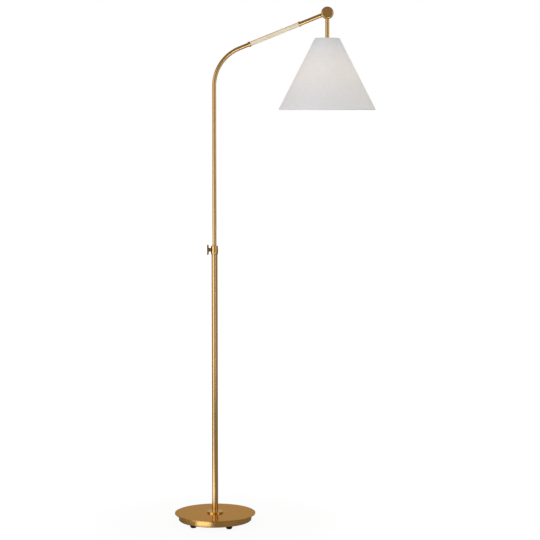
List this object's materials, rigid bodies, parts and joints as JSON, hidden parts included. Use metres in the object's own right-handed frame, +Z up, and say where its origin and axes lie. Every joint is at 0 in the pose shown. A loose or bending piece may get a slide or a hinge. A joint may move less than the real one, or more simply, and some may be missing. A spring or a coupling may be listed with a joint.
{
  "type": "adjustable arm floor lamp",
  "caption": "Floor lamp on a round weighted base: a telescoping pole with a bent arm that slides and swivels in a clamp collar, and a tilting conical fabric shade on a disc hinge.",
  "frame": {"origin": "on the floor, at the centre of the circle of feet, under the pole's axis", "axes": "+Z up the pole, +X out along the arm towards the shade, -Y towards the front"},
  "size_m": [0.6328, 0.304, 1.6301],
  "materials": {
    "satin_brass": "brushed and lacquered, satin",
    "polished_brass": "polished and lacquered",
    "raw_brass": "turned, plain",
    "cast_iron": "cast, painted black",
    "zinc_steel": "zinc plated",
    "spring_steel": "oiled spring steel",
    "shade_wire": "white epoxy on steel wire",
    "black_rubber": "moulded, matte",
    "nylon": "moulded nylon",
    "lead_sheath": "extruded sheath",
    "phenolic": "moulded, dark brown",
    "fibre": "pressed vulcanised fibre",
    "natural_leather": "natural undyed, wrapped and stitched",
    "shade_linen": "fine white linen on a stiff translucent backing",
    "bulb_metal": "rolled screw cap",
    "frosted_glass": "blown, frosted inside"
  },
  "bodies": {
    "stand": {"base_plate": "satin_brass", "base_drum": "satin_brass", "base_weight": "cast_iron", "bottom_cover": "zinc_steel", "cover_screws": "zinc_steel", "rubber_feet": "black_rubber", "foot_screws": "zinc_steel", "cord_bush": "black_rubber", "base_flange": "polished_brass", "base_nipple": "zinc_steel", "base_washer": "zinc_steel", "base_nut": "zinc_steel", "pole_foot_plug": "raw_brass", "lower_pole": "satin_brass", "pole_lead": "lead_sheath", "height_collar": "polished_brass", "collar_bush": "nylon"},
    "clamp_pad": {"clamp_pad": "nylon"},
    "clamp_knob": {"clamp_knob": "polished_brass", "clamp_screw": "zinc_steel"},
    "mast_guide": {"guide_bush": "nylon"},
    "mast": {"mast_tube": "satin_brass", "guide_clips": "spring_steel", "lead_bush": "nylon", "mast_lead": "lead_sheath", "lower_ferrule": "polished_brass", "leather_sleeve": "natural_leather", "upper_ferrule": "polished_brass", "knuckle_rear": "satin_brass", "friction_washer": "fibre", "hinge_cap": "satin_brass"},
    "head": {"knuckle_front": "satin_brass", "hinge_screw": "zinc_steel", "spring_washer": "spring_steel", "stem_tube": "satin_brass", "stem_nipple": "zinc_steel", "stem_lead": "lead_sheath", "shade_spider": "shade_wire", "spider_nut": "zinc_steel", "shade_top_ring": "shade_wire", "shade_bottom_ring": "shade_wire", "shade_cover": "shade_linen", "socket_cap": "satin_brass", "socket_shell": "satin_brass", "socket_liner": "fibre", "switch_block": "phenolic", "screw_shell": "raw_brass", "centre_contact": "raw_brass", "bulb_cap": "bulb_metal", "bulb_glass": "frosted_glass"},
    "switch_knob": {"switch_knob": "phenolic"}
  },
  "joints": [
    {"name": "mast_height", "type": "slide", "parent": "stand", "child": "mast_guide", "axis": [0, 0, 1], "range_m": [-0.4, 0.075]},
    {"name": "mast_swivel", "type": "hinge", "parent": "mast_guide", "child": "mast", "pos_m": [0, 0, 0.8], "axis": [0, 0, 1], "range_deg": [-170, 170]},
    {"name": "head_tilt", "type": "hinge", "parent": "mast", "child": "head", "pos_m": [0.35282, 0, 1.61062], "axis": [0, -1, 0], "range_deg": [-30, 90]},
    {"name": "clamp_travel", "type": "slide", "parent": "stand", "child": "clamp_pad", "axis": [-1, 0, 0], "range_m": [0, 0.001]},
    {"name": "clamp_turn", "type": "hinge", "parent": "clamp_pad", "child": "clamp_knob", "pos_m": [0, 0, 0.8713], "axis": [-1, 0, 0], "range_deg": [0, 360]},
    {"name": "switch_turn", "type": "hinge", "parent": "head", "child": "switch_knob", "pos_m": [0.35282, 0, 1.49212], "axis": [0, -1, 0], "continuous": true}
  ],
  "couplings": [
    {"joint": "clamp_turn", "follows": "clamp_travel", "rad_per_m": 6283.2}
  ]
}
